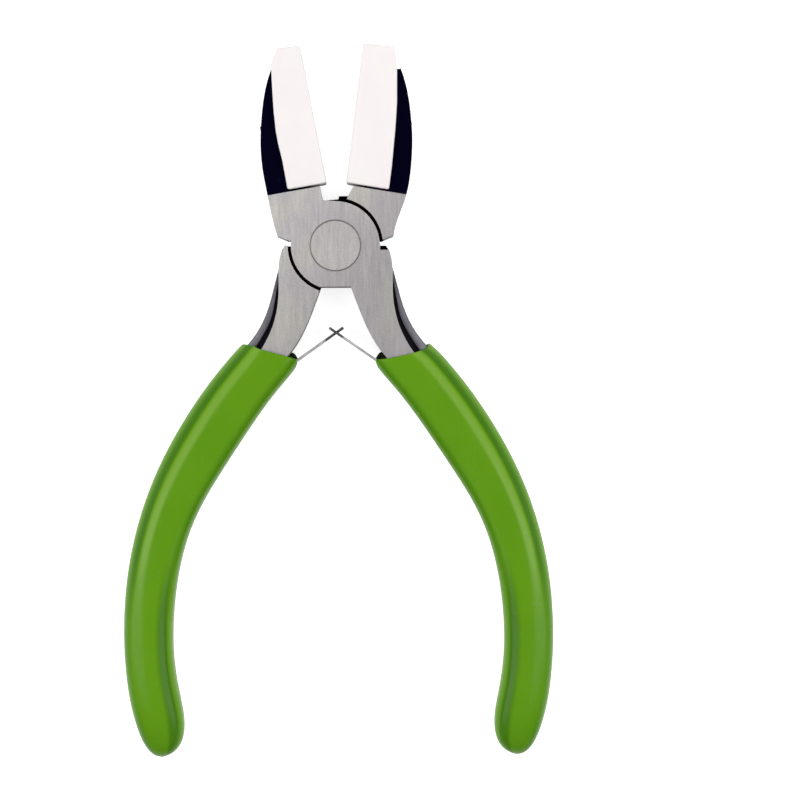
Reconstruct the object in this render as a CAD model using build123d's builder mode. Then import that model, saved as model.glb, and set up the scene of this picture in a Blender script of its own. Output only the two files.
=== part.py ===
from build123d import *
import math
import os

# Flat nose pliers with nylon jaws, in millimetres.
# The origin is on the pivot axis, at the rear ground face of the head. +Y points to the jaws and
# +Z out of the front face. The tool is modelled open, as it rests on its two leaf springs.
# In each list of outline points x is the distance from the middle plane, and side is -1 on the
# left and 1 on the right.

# Head and lap joint
steel_thickness = 8.8
lap_gap = 0.05
disc_radius = 8.7
shoulder_gap = 0.65
disc_flat = 8.1
shank_top = -0.9
lap_corner = (9.9, 0.05)

# Jaw arms
jaw_side_shift = 0.35
shoulder_tilt = 9.6
shoulder_reach = 12.03
arm_base_thickness = 6.2
arm_tip_thickness = 4.6
jaw_root_edge = [(11.35, 1.9), (12.45, 6.0)]
jaw_arm_edge = [(13.6, 10.0), (14.65, 16.0), (14.9, 20.5), (14.6, 26.0), (14.05, 30.0), (12.75, 34.7)]
arm_taper_end = 39.0
web_tip_reach = 35.0
crotch_corner = (3.34, 11.63)
# foot of the crotch, and the saddle that joins it to the joint disc, seen from each jaw's side
crotch_foot = {-1: (2.45, 8.9), 1: (2.65, 9.85)}
saddle_edge = {-1: [(-0.9, 8.65)], 1: [(0.75, 9.85), (0.6, 9.25), (-2.0, 9.02)]}
notch_corner = (8.9, 0.9)

# Gripping faces: tilt from +Y, and how far the closed jaws' parting line passes right of the pivot
face_tilt = {-1: 10.35, 1: 7.3}
parting_offset = 0.6
closed_face_gap = 0.06

# Nylon pads
pad_base_thickness = 9.4
pad_tip_thickness = 7.6
pad_root_gap = 0.4
pad_wall = 3.6
pad_fit = 0.05
pad_reach = {-1: 39.85, 1: 40.1}
pad_backs = {
    -1: [(9.0, 9.5), (10.3, 16.9), (11.5, 22.5), (12.1, 30.0), (12.36, 35.6)],
    1: [(10.4, 9.5), (11.55, 19.0), (12.3, 28.0), (12.35, 35.0)],
}
pad_nose_corner = {-1: (11.22, 38.8), 1: (11.99, 38.9)}

# Jaw screws
screw_station = 24.0
screw_shank_diameter = 2.2
screw_head_diameter = 3.8
screw_head_height = 1.4
screw_head_back = {-1: 9.4, 1: 10.0}
screw_point_wall = 1.4
screw_socket_width = 1.9
screw_socket_depth = 0.8
screw_clearance = 0.05

# Pivot rivet
rivet_head_diameter = 10.0
rivet_head_depth = 1.2
rivet_shank_diameter = 6.0
rivet_press_clearance = 0.01
rivet_running_clearance = 0.04
rivet_seat_gap = 0.02
rivet_edge_break = 0.12

# Shanks and tangs
tang_thickness = 6.4
tang_edge_round = 1.5
tang_end_radius = 3.0
groove_depth = 1.3
flat_outer_edge = [
    (10.5, -0.9), (11.15, -4.2), (11.15, -7.9), (11.4, -11.6), (12.3, -15.4), (14.35, -19.7), (16.5, -22.6)
]
flat_inner_edge = [(2.95, -8.1), (4.0, -11.0), (5.9, -15.75), (7.1, -18.1), (9.6, -21.67)]
tang_outer_edge = [
    (11.2, -4.3), (12.3, -8.6), (13.95, -13.8), (16.38, -18.0), (17.7, -19.6), (23.2, -26.2),
    (31.0, -38.4), (37.7, -54.4), (40.4, -70.0), (40.6, -80.0), (39.5, -90.0)
]
tang_inner_edge = [(34.2, -90.5), (34.2, -78.0), (33.3, -66.0), (30.2, -54.0), (23.0, -42.0), (15.7, -30.4)]
groove_inner_edge = [(10.95, -6.3), (10.9, -10.0), (11.6, -14.0), (13.0, -17.8), (16.0, -22.6)]
groove_outer_edge = [(17.3, -22.0), (14.5, -17.7), (12.65, -13.9), (11.9, -10.2), (11.35, -7.3)]

# Leaf springs
leaf_thickness = 0.5
leaf_width = 4.5
leaf_slope = 35.0
leaf_crossing = -17.0
leaf_tip_past_crossing = 1.7
foot_start = (11.9, -24.95)
foot_slope = 55.0
foot_length = 4.2
foot_gap = 0.02
leaf_bend_radius = 2.0
tongue_width = 1.7
window_clearance = 0.25
window_below_crossing = 2.6
window_above_crossing = 1.0
tongue_below_crossing = 3.4
tongue_head_width = 3.2
tongue_head_length = 0.7

# Spring rivets
foot_rivet_station = 2.4
foot_rivet_diameter = 1.5
foot_rivet_head_diameter = 2.6
foot_rivet_head_height = 0.6
foot_rivet_depth = 3.0
foot_rivet_clearance = 0.05

# Grips
grip_proud = 1.0
grip_edge_round = 3.2
grip_fit = 0.1
grip_outer_edge = [
    (18.55, -19.1), (24.55, -26.0), (30.15, -34.0), (36.5, -46.0), (40.35, -58.0), (42.1, -70.0),
    (42.2, -80.0), (41.0, -90.0), (38.2, -98.0)
]
grip_end = (35.0, -100.3)
grip_inner_edge = [
    (31.5, -98.0), (30.3, -94.0), (31.8, -86.0), (32.65, -78.0), (31.8, -66.0), (28.55, -54.0),
    (21.4, -42.0), (13.2, -30.0), (7.4, -23.6)
]
grip_lip_corner = (6.7, -22.0)
spring_clearance = 0.3
pocket_mouth_run = 5.5

mid_z = steel_thickness / 2
lap_depth = mid_z - lap_gap / 2
shoulder_radius = disc_radius + shoulder_gap
through = 30.0


def on_side(side, points, shift=0.0):
    """The outline points of one side, moved right by shift."""
    return [(side * x + shift, y) for x, y in points]


def widened(points, by):
    """The outline points, moved out from the middle plane."""
    return [(x + by, y) for x, y in points]


def jaw_point(side, along, back):
    """A plan point on a jaw: along its gripping face from the pivot, and back from that face."""
    tilt = math.radians(face_tilt[side])
    across = parting_offset + side * (closed_face_gap / 2 + back)
    x = across * math.cos(tilt) + along * side * math.sin(tilt)
    y = along * math.cos(tilt) - across * side * math.sin(tilt)
    return (x, y)


def shoulder_meeting(side, back):
    """How far along a jaw a line parallel to its gripping face, back from it, meets the shoulder."""
    tilt = math.radians(face_tilt[side])
    slope = math.radians(shoulder_tilt)
    x, y = jaw_point(side, 0, back)
    at_pivot = side * (x - jaw_side_shift) * math.sin(slope) + y * math.cos(slope)
    return (shoulder_reach - at_pivot) / math.cos(tilt - slope)


def jaw_blank(side):
    """Plan of one steel jaw: outer edge, tip, hidden web edge, shoulder and crotch."""
    root = on_side(side, jaw_root_edge)
    arm = on_side(side, jaw_arm_edge, jaw_side_shift)
    web_tip = jaw_point(side, web_tip_reach, pad_wall)
    web_root = jaw_point(side, shoulder_meeting(side, pad_wall), pad_wall)
    with BuildSketch() as blank:
        with BuildLine():
            Spline(*root, *arm)
            Polyline(
                arm[-1],
                web_tip,
                web_root,
                *on_side(side, [crotch_corner], jaw_side_shift),
                *on_side(side, [crotch_foot[side], (0.0, 4.0), notch_corner]),
                root[0],
            )
        make_face()
    return blank.sketch


def shank_flat(side, fit=0.0):
    """Plan of the ground flat on a shank, from the joint disc to inside the grip."""
    outer = on_side(side, widened(flat_outer_edge, fit))
    inner = on_side(side, widened(flat_inner_edge, -fit))
    foot = (side * (foot_start[0] - fit), foot_start[1] - fit)
    with BuildSketch() as flat:
        with BuildLine():
            Spline(*outer)
            Polyline(outer[-1], foot, inner[-1])
            Spline(*inner)
            Polyline(inner[0], (0.0, -4.0), (side * 6.0, shank_top), outer[0])
        make_face()
    return flat.sketch


def tang_plan(side, fit=0.0):
    """Plan of the forged tang, from the wing beside the head to its round end."""
    outer = on_side(side, widened(tang_outer_edge, fit))
    inner = on_side(side, widened(tang_inner_edge, -fit))
    neck = on_side(side, widened([flat_inner_edge[-1], (8.0, -14.0)], -fit))
    end_x = (tang_outer_edge[-1][0] + tang_inner_edge[0][0]) / 2
    end = (side * end_x, inner[0][1] - tang_end_radius - fit)
    with BuildSketch() as plan:
        with BuildLine():
            Spline(*outer)
            ThreePointArc(outer[-1], end, inner[0])
            Spline(*inner)
            Polyline(inner[-1], *neck, outer[0])
        make_face()
    return plan.sketch


def groove_plan(side):
    """Plan of the shadow groove between the ground flat and the rounded rail outside it."""
    inner = on_side(side, groove_inner_edge)
    outer = on_side(side, groove_outer_edge)
    with BuildSketch() as plan:
        with BuildLine():
            Spline(*inner)
            Line(inner[-1], outer[0])
            Spline(*outer)
            Line(outer[-1], inner[0])
        make_face()
    return plan.sketch


def grip_plan(side):
    """Plan of a grip, closed by the straight cut at its mouth."""
    outer = on_side(side, grip_outer_edge)
    inner = on_side(side, grip_inner_edge)
    lip = (side * grip_lip_corner[0], grip_lip_corner[1])
    with BuildSketch() as plan:
        with BuildLine():
            Spline(*outer)
            ThreePointArc(outer[-1], (side * grip_end[0], grip_end[1]), inner[0])
            Spline(*inner)
            Polyline(inner[-1], lip, outer[0])
        make_face()
    return plan.sketch


def foot_point(along, away):
    """A right-hand plan point along a tang's inner edge from foot_start, and away from that edge."""
    slope = math.radians(foot_slope)
    x = foot_start[0] + along * math.cos(slope) - away * math.sin(slope)
    y = foot_start[1] - along * math.sin(slope) - away * math.cos(slope)
    return (x, y)


def run_point(back, below):
    """A right-hand plan point back along a leaf's straight run from the crossing, and below it."""
    slope = math.radians(leaf_slope)
    x = back * math.cos(slope) - below * math.sin(slope)
    y = leaf_crossing - back * math.sin(slope) - below * math.cos(slope)
    return (x, y)


def leaf_bend_back():
    """How far back along the run the leaf meets the line of its foot."""
    x, y = foot_point(0, foot_gap + leaf_thickness / 2)
    foot = math.radians(foot_slope)
    bend = math.radians(foot_slope - leaf_slope)
    return (x * math.sin(foot) + (y - leaf_crossing) * math.cos(foot)) / math.sin(bend)


def arm_side_plane(side):
    """Plane along a jaw, square to its shoulder: local x runs to the tip and local y is +Z."""
    tilt = math.radians(shoulder_tilt)
    along = (side * math.sin(tilt), math.cos(tilt), 0)
    across = (math.cos(tilt), -side * math.sin(tilt), 0)
    return Plane(origin=(jaw_side_shift, 0, 0), x_dir=along, z_dir=across)


def taper_plan(reach, base_thickness, tip_thickness, end):
    """Side outline of something centred on the middle of the steel that thins to its tip."""
    base = base_thickness / 2
    tip = tip_thickness / 2
    return [(reach, mid_z - base), (end, mid_z - tip), (end, mid_z + tip), (reach, mid_z + base)]


def screw_plane(side):
    """Plane of a jaw screw's head seat: local z points out of the jaw's back."""
    x, y = jaw_point(side, screw_station, screw_head_back[side])
    tilt = math.radians(face_tilt[side])
    out = (side * math.cos(tilt), -math.sin(tilt), 0)
    return Plane(origin=(x, y, mid_z), x_dir=(0, 0, 1), z_dir=out)


def foot_plane(side):
    """Plane on a tang's inner edge at the spring rivet: local z points away from the tang."""
    slope = math.radians(foot_slope)
    x, y = foot_point(foot_rivet_station, 0)
    away = (-side * math.sin(slope), -math.cos(slope), 0)
    return Plane(origin=(side * x, y, mid_z), x_dir=(0, 0, 1), z_dir=away)


def make_tang(side):
    """The forged tang: a bar with a rounded rail, and a groove beside the head's ground flat."""
    plan = tang_plan(side)
    groove = groove_plan(side)
    rear_z = mid_z - tang_thickness / 2
    with BuildPart() as tang:
        with BuildSketch(Plane.XY.offset(rear_z)):
            add(plan)
        extrude(amount=tang_thickness)
        rims = tang.faces().filter_by(Axis.Z).edges().filter_by(GeomType.BSPLINE)
        fillet(rims, radius=tang_edge_round)
        with BuildSketch(Plane.XY.offset(rear_z), Plane.XY.offset(rear_z + tang_thickness - groove_depth)):
            add(groove)
        extrude(amount=groove_depth, mode=Mode.SUBTRACT)
    return tang.part


def make_half(jaw_side, disc_z, shoulder_z, head_z, bore_clearance, corner_radius, backed_corner):
    """One forging: a jaw on one side, the joint disc in its own layer, a shank on the other."""
    shank_side = -jaw_side
    jaw = jaw_blank(jaw_side)
    flat = shank_flat(shank_side)
    tang = make_tang(shank_side)
    screw = screw_plane(jaw_side)
    foot = foot_plane(shank_side)
    step = taper_plan(shoulder_reach, arm_base_thickness, arm_tip_thickness, arm_taper_end)
    head = [
        (shoulder_reach, steel_thickness),
        (-through, steel_thickness),
        (-through, 0),
        (shoulder_reach, 0),
    ]
    corner = [lap_corner, flat_outer_edge[0], (8.0, shank_top), (8.0, lap_corner[1])]
    saddle = [crotch_foot[jaw_side], *saddle_edge[jaw_side], (0.0, 4.0)]
    with BuildPart() as half:
        # jaw at full thickness, then stepped down to the arm beyond the shoulder
        with BuildSketch(Plane.XY):
            add(jaw)
        extrude(amount=steel_thickness)
        with BuildSketch(arm_side_plane(jaw_side)):
            with BuildLine():
                Polyline(*head, *step, close=True)
            make_face()
        extrude(amount=through, both=True, mode=Mode.INTERSECT)
        # shank with its ground flat, over the tang
        add(tang)
        with BuildSketch(Plane.XY):
            add(flat)
        extrude(amount=steel_thickness)
        # shoulder that the other half's disc turns inside
        with BuildSketch(Plane.XY.offset(shoulder_z - lap_gap)):
            Circle(shoulder_radius)
        extrude(amount=lap_depth + 2 * lap_gap, mode=Mode.SUBTRACT)
        # top corner of the shank beside the other disc, and its backing where the gap has one
        with BuildSketch(Plane.XY.offset(shoulder_z)):
            with BuildLine():
                Polyline(*on_side(shank_side, corner), close=True)
            make_face()
            Circle(corner_radius, mode=Mode.SUBTRACT)
        extrude(amount=lap_depth)
        if backed_corner:
            with BuildSketch(Plane.XY.offset(disc_z)):
                with BuildLine():
                    Polyline(*on_side(shank_side, corner), close=True)
                make_face()
            extrude(amount=lap_depth)
        # joint disc, flat at its lower edge, with a saddle towards the jaw
        with BuildSketch(Plane.XY.offset(disc_z)):
            Circle(disc_radius)
            with Locations((0, -disc_flat)):
                Rectangle(through, disc_radius, align=(Align.CENTER, Align.MAX), mode=Mode.SUBTRACT)
            with BuildLine():
                Polyline(*on_side(jaw_side, saddle), close=True)
            make_face()
        extrude(amount=lap_depth)
        # jaw screw hole with its head's counterbore
        with Locations(screw):
            Cylinder(screw_shank_diameter / 2 + screw_clearance, through, mode=Mode.SUBTRACT)
            Cylinder(
                screw_head_diameter / 2 + screw_clearance,
                disc_radius,
                align=(Align.CENTER, Align.CENTER, Align.MIN),
                mode=Mode.SUBTRACT,
            )
        # blind hole for the spring rivet
        with Locations(foot):
            Cylinder(
                foot_rivet_diameter / 2 + foot_rivet_clearance,
                2 * (foot_rivet_depth + foot_rivet_clearance),
                mode=Mode.SUBTRACT,
            )
        # bore and counterbore for the pivot rivet
        with BuildSketch(Plane.XY):
            Circle(rivet_shank_diameter / 2 + bore_clearance)
        extrude(amount=steel_thickness, mode=Mode.SUBTRACT)
        with BuildSketch(Plane.XY.offset(head_z)):
            Circle(rivet_head_diameter / 2 + bore_clearance)
        extrude(amount=rivet_head_depth, mode=Mode.SUBTRACT)
    return half


def make_channel(side):
    """The room that the steel arm takes up in a pad, with the pad's fit and open at the back."""
    base = arm_base_thickness + 2 * pad_fit
    profile = taper_plan(shoulder_reach, base, arm_tip_thickness + 2 * pad_fit, arm_taper_end)
    tip_x, tip_y = on_side(side, jaw_arm_edge[-1:], jaw_side_shift)[0]
    with BuildPart() as channel:
        with BuildSketch(Plane.XY):
            with BuildLine():
                Polyline(
                    jaw_point(side, 0, pad_wall - pad_fit),
                    jaw_point(side, web_tip_reach + pad_fit, pad_wall - pad_fit),
                    (tip_x, tip_y + pad_fit),
                    (side * through, tip_y + pad_fit),
                    (side * through, 0),
                    close=True,
                )
            make_face()
        extrude(amount=steel_thickness)
        with BuildSketch(arm_side_plane(side)):
            with BuildLine():
                Polyline(*profile, close=True)
            make_face()
        extrude(amount=2 * through, both=True, mode=Mode.INTERSECT)
    return channel.part


def make_pad(side):
    """Nylon pad with a channel that slides over the steel arm and a solid nose past its tip."""
    back = on_side(side, pad_backs[side])
    corner = (side * pad_nose_corner[side][0], pad_nose_corner[side][1])
    profile = taper_plan(
        shoulder_reach + pad_root_gap, pad_base_thickness, pad_tip_thickness, pad_reach[side] + pad_wall
    )
    channel = make_channel(side)
    screw = screw_plane(side)
    with BuildPart() as pad:
        with BuildSketch(Plane.XY.offset(-pad_wall)):
            with BuildLine():
                Spline(*back)
                Polyline(
                    back[-1],
                    corner,
                    jaw_point(side, pad_reach[side], 0),
                    jaw_point(side, shoulder_reach - pad_wall, 0),
                    back[0],
                )
            make_face()
        extrude(amount=steel_thickness + 2 * pad_wall)
        with BuildSketch(arm_side_plane(side)):
            with BuildLine():
                Polyline(*profile, close=True)
            make_face()
        extrude(amount=through, both=True, mode=Mode.INTERSECT)
        add(channel, mode=Mode.SUBTRACT)
        with Locations(screw):
            Cylinder(
                screw_shank_diameter / 2 + screw_clearance,
                screw_head_back[side] - screw_point_wall + screw_clearance,
                align=(Align.CENTER, Align.CENTER, Align.MAX),
                mode=Mode.SUBTRACT,
            )
    return pad


def make_jaw_screw(side):
    """Socket-head screw from the jaw's back, through the steel and into the nylon."""
    seat = screw_plane(side)
    with BuildPart() as screw:
        with BuildSketch(seat):
            Circle(screw_head_diameter / 2)
        extrude(amount=screw_head_height)
        with BuildSketch(seat.offset(screw_point_wall - screw_head_back[side])):
            Circle(screw_shank_diameter / 2)
        extrude(amount=screw_head_back[side] - screw_point_wall)
        with BuildSketch(seat.offset(screw_head_height - screw_socket_depth)):
            RegularPolygon(screw_socket_width / 2, 6)
        extrude(amount=screw_socket_depth, mode=Mode.SUBTRACT)
    return screw


def make_pivot_rivet():
    """Headed pivot, flush with both ground faces."""
    with BuildPart() as rivet:
        with BuildSketch(Plane.XY):
            Circle(rivet_shank_diameter / 2)
        extrude(amount=steel_thickness)
        with BuildSketch(Plane.XY, Plane.XY.offset(steel_thickness - rivet_head_depth + rivet_seat_gap)):
            Circle(rivet_head_diameter / 2)
        extrude(amount=rivet_head_depth - rivet_seat_gap)
        rims = rivet.faces().sort_by(Axis.Z)[-1].edges() + rivet.faces().sort_by(Axis.Z)[0].edges()
        chamfer(rims, length=rivet_edge_break)
    return rivet


def leaf_plane(side):
    """Plane of a leaf at the crossing: local x runs to its tip and local y lies along Z."""
    slope = math.radians(leaf_slope)
    to_tip = (-side * math.cos(slope), math.sin(slope), 0)
    square = (math.sin(slope), side * math.cos(slope), 0)
    return Plane(origin=(0, leaf_crossing, mid_z), x_dir=to_tip, z_dir=square)


def make_leaf(side):
    """Flat spring: a foot along the tang, one bend and a straight run past the crossing."""
    bend_back = leaf_bend_back()
    bend = run_point(bend_back, 0)
    slope = math.radians(foot_slope)
    foot_end = (bend[0] + foot_length * math.cos(slope), bend[1] - foot_length * math.sin(slope))
    path = on_side(side, [foot_end, bend, run_point(-leaf_tip_past_crossing, 0)])
    foot = foot_plane(side)
    with BuildPart() as leaf:
        with BuildSketch(Plane.XY.offset(mid_z - leaf_width / 2)):
            with BuildLine():
                FilletPolyline(*path, radius=leaf_bend_radius)
            trace(line_width=leaf_thickness)
        extrude(amount=leaf_width)
        with Locations(foot):
            Cylinder(foot_rivet_diameter / 2 + foot_rivet_clearance, leaf_width, mode=Mode.SUBTRACT)
    return leaf


def cut_window(leaf, side):
    """The wide leaf's window, which leaves an end bar and two rails."""
    crossing = leaf_plane(side)
    length = window_below_crossing + window_above_crossing
    with BuildPart() as windowed:
        add(leaf.part)
        with BuildSketch(crossing):
            with Locations(((window_above_crossing - window_below_crossing) / 2, 0)):
                Rectangle(length, tongue_width + 2 * window_clearance)
        extrude(amount=leaf_width, both=True, mode=Mode.SUBTRACT)
    return windowed


def cut_tongue(leaf, side):
    """The other leaf's tongue, with a cross head that stops it from slipping back."""
    crossing = leaf_plane(side)
    tongue_length = tongue_below_crossing + leaf_tip_past_crossing - tongue_head_length
    with BuildPart() as tongued:
        add(leaf.part)
        with BuildSketch(crossing):
            for across in (-1, 1):
                with Locations((-tongue_below_crossing, across * tongue_width / 2)):
                    lower = Align.MIN if across > 0 else Align.MAX
                    Rectangle(tongue_length, leaf_width, align=(Align.MIN, lower))
                with Locations((-tongue_below_crossing, across * tongue_head_width / 2)):
                    Rectangle(2 * tongue_length, leaf_width, align=(Align.MIN, lower))
        extrude(amount=leaf_width, both=True, mode=Mode.SUBTRACT)
    return tongued


def make_spring_rivet(side):
    """Small rivet that holds a leaf's foot to its tang."""
    seat = foot_plane(side)
    head_seat = foot_gap + leaf_thickness + foot_gap
    with BuildPart() as rivet:
        with BuildSketch(seat.offset(-foot_rivet_depth)):
            Circle(foot_rivet_diameter / 2)
        extrude(amount=foot_rivet_depth + head_seat)
        with BuildSketch(seat.offset(head_seat)):
            Circle(foot_rivet_head_diameter / 2)
        extrude(amount=foot_rivet_head_height)
        tip_rim = rivet.faces().sort_by(-Axis(seat.origin, seat.z_dir))[0].edges()
        chamfer(tip_rim, length=foot_rivet_head_height / 3)
    return rivet


def pocket_plan(side):
    """Plan of the room that a leaf's foot, its rivet and its run need inside the grip's mouth."""
    foot_stop = foot_length + spring_clearance + leaf_thickness
    foot_rise = leaf_thickness + spring_clearance
    head_rise = foot_gap * 2 + leaf_thickness + foot_rivet_head_height + spring_clearance
    head_reach = foot_rivet_head_diameter / 2 + spring_clearance
    below = leaf_thickness / 2 + spring_clearance
    with BuildSketch() as plan:
        with BuildLine():
            Polyline(
                *on_side(
                    side,
                    [
                        foot_point(-pocket_mouth_run, -leaf_thickness),
                        foot_point(foot_stop, -leaf_thickness),
                        foot_point(foot_stop, foot_rise),
                        foot_point(foot_rivet_station + head_reach, head_rise),
                        foot_point(foot_rivet_station - head_reach, head_rise),
                        run_point(leaf_bend_back() - pocket_mouth_run / 2, below),
                        run_point(leaf_bend_back() - 1.5 * pocket_mouth_run, below),
                    ],
                ),
                close=True,
            )
        make_face()
    return plan.sketch


def make_grip(side):
    """Dipped sleeve with round edges, moulded round the tang and open for the spring."""
    plan = grip_plan(side)
    tang = tang_plan(side, grip_fit)
    flat = shank_flat(side, grip_fit)
    pocket = pocket_plan(side)
    pocket_height = leaf_width + 2 * spring_clearance
    with BuildPart() as grip:
        with BuildSketch(Plane.XY.offset(-grip_proud)):
            add(plan)
        extrude(amount=steel_thickness + 2 * grip_proud)
        rims = grip.faces().filter_by(Axis.Z).edges().filter_by(GeomType.LINE, reverse=True)
        fillet(rims, radius=grip_edge_round)
        with BuildSketch(Plane.XY.offset(mid_z - pocket_height / 2)):
            add(pocket)
        extrude(amount=pocket_height, mode=Mode.SUBTRACT)
        with BuildSketch(Plane.XY.offset(mid_z - tang_thickness / 2 - grip_fit)):
            add(tang)
        extrude(amount=tang_thickness + 2 * grip_fit, mode=Mode.SUBTRACT)
        with BuildSketch(Plane.XY.offset(-grip_fit)):
            add(flat)
        extrude(amount=steel_thickness + 2 * grip_fit, mode=Mode.SUBTRACT)
    return grip


front_z = mid_z + lap_gap / 2
close_radius = disc_radius + lap_gap
front_head_z = steel_thickness - rivet_head_depth
front_half = make_half(-1, front_z, 0, front_head_z, rivet_press_clearance, close_radius, False)
rear_half = make_half(1, 0, front_z, 0, rivet_running_clearance, shoulder_radius, True)
pivot_rivet = make_pivot_rivet()
left_nylon_jaw = make_pad(-1)
right_nylon_jaw = make_pad(1)
left_jaw_screw = make_jaw_screw(-1)
right_jaw_screw = make_jaw_screw(1)
left_leaf_spring = cut_tongue(make_leaf(-1), -1)
right_leaf_spring = cut_window(make_leaf(1), 1)
left_spring_rivet = make_spring_rivet(-1)
right_spring_rivet = make_spring_rivet(1)
left_grip = make_grip(-1)
right_grip = make_grip(1)

nodes = {
    "front_half": front_half,
    "rear_half": rear_half,
    "pivot_rivet": pivot_rivet,
    "left_nylon_jaw": left_nylon_jaw,
    "right_nylon_jaw": right_nylon_jaw,
    "left_jaw_screw": left_jaw_screw,
    "right_jaw_screw": right_jaw_screw,
    "left_leaf_spring": left_leaf_spring,
    "right_leaf_spring": right_leaf_spring,
    "left_spring_rivet": left_spring_rivet,
    "right_spring_rivet": right_spring_rivet,
    "left_grip": left_grip,
    "right_grip": right_grip,
}
os.makedirs("parts", exist_ok=True)
for label, node in nodes.items():
    node.part.label = label
    export_step(node.part, f"parts/{label}.step")
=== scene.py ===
import math

import bmesh
import bpy
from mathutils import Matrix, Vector


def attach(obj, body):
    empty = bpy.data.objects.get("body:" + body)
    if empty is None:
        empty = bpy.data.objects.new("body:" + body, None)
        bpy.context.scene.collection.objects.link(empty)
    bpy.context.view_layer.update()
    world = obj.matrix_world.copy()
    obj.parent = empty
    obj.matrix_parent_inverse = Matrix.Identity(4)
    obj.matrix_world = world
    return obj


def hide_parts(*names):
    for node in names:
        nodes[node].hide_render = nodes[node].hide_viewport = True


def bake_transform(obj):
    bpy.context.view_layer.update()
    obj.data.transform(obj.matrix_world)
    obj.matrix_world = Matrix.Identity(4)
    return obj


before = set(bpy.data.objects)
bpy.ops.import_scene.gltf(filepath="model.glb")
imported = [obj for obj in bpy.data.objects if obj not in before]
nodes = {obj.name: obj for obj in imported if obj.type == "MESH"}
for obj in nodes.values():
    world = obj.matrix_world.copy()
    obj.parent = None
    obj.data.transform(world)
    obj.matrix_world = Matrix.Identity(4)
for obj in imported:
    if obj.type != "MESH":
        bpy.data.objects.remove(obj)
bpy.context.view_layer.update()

MM = 0.001

# ---------------------------------------------------------------------------------------------
# Steel halves
# Two drop forgings, lapped at the joint. Head and shanks are ground flat on both faces with a
# fine lengthwise grain, the arms beyond the shoulders keep their black oxide, and the tangs
# are left as forged.
# ---------------------------------------------------------------------------------------------
steel_mid_z = 4.4


def add_node(tree, kind, sockets=None, **settings):
    """A shader node with its settings, its sockets set to values or linked to other outputs."""
    made = tree.nodes.new("ShaderNode" + kind)
    for name, value in settings.items():
        setattr(made, name, value)
    for name, value in (sockets or {}).items():
        if isinstance(value, bpy.types.NodeSocket):
            tree.links.new(value, made.inputs[name])
        else:
            made.inputs[name].default_value = value
    return made


def sums(tree, operation, first, second=0.0, third=0.0, clamp=False):
    """The output of one Math node."""
    made = add_node(tree, "Math", {0: first, 1: second, 2: third}, operation=operation, use_clamp=clamp)
    return made.outputs[0]


def ramp(tree, value, low, high, at_low=0.0, at_high=1.0):
    """A smooth step of a value between two limits."""
    made = add_node(
        tree,
        "MapRange",
        {"Value": value, "From Min": low, "From Max": high, "To Min": at_low, "To Max": at_high},
        interpolation_type="SMOOTHSTEP",
    )
    return made.outputs[0]


def blended(tree, factor, first, second, mode="MIX"):
    """Two colours mixed by a factor."""
    made = add_node(tree, "Mix", {0: factor, 6: first, 7: second}, data_type="RGBA", blend_type=mode)
    return made.outputs[2]


def noise(tree, vector, scale, detail=2.0, roughness=0.5):
    """The grey output of a noise texture."""
    sockets = {"Vector": vector, "Scale": scale, "Detail": detail, "Roughness": roughness}
    return add_node(tree, "TexNoise", sockets).outputs[0]


def in_millimetres(tree, stretch=(1.0, 1.0, 1.0)):
    """Object coordinates in millimetres, stretched along each axis."""
    place = add_node(tree, "TexCoord").outputs["Object"]
    scale = [each / MM for each in stretch]
    made = add_node(tree, "Mapping", {"Vector": place, "Scale": scale})
    return made.outputs[0]


def plan_radius(tree, x, y):
    """The distance from the pivot's axis."""
    plan = add_node(tree, "CombineXYZ", {0: x, 1: y}).outputs[0]
    return add_node(tree, "VectorMath", {0: plan}, operation="LENGTH").outputs["Value"]


def scaled(tree, color, factor):
    """A colour made lighter or darker by a factor."""
    return add_node(tree, "VectorMath", {0: color, "Scale": factor}, operation="SCALE").outputs[0]


def add_bump(tree, shader, height, strength, distance, **sockets):
    """Gives a shader the small relief of a height, whose full depth is given in millimetres."""
    sockets = {"Strength": strength, "Distance": distance * MM, "Height": height, **sockets}
    tree.links.new(add_node(tree, "Bump", sockets).outputs[0], shader.inputs["Normal"])


def new_material(name):
    """A node material, its tree and its Principled shader."""
    material = bpy.data.materials.new(name)
    material.use_nodes = True
    return material, material.node_tree, material.node_tree.nodes["Principled BSDF"]


def new_group(name, inputs, outputs):
    """An empty shader group with named sockets, and its input and output nodes."""
    group = bpy.data.node_groups.new(name, "ShaderNodeTree")
    for label, kind, value in inputs:
        socket = group.interface.new_socket(label, in_out="INPUT", socket_type="NodeSocket" + kind)
        socket.default_value = value
    for label, kind in outputs:
        group.interface.new_socket(label, in_out="OUTPUT", socket_type="NodeSocket" + kind)
    return group, group.nodes.new("NodeGroupInput"), group.nodes.new("NodeGroupOutput")


def use_group(tree, group, sockets=None):
    """A group placed in a material's tree."""
    made = add_node(tree, "Group")
    made.node_tree = group
    for name, value in (sockets or {}).items():
        if isinstance(value, bpy.types.NodeSocket):
            tree.links.new(value, made.inputs[name])
        else:
            made.inputs[name].default_value = value
    return made


def paint(piece, material):
    """Gives a piece one material in all its slots."""
    piece.data.materials.clear()
    piece.data.materials.append(material)


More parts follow.
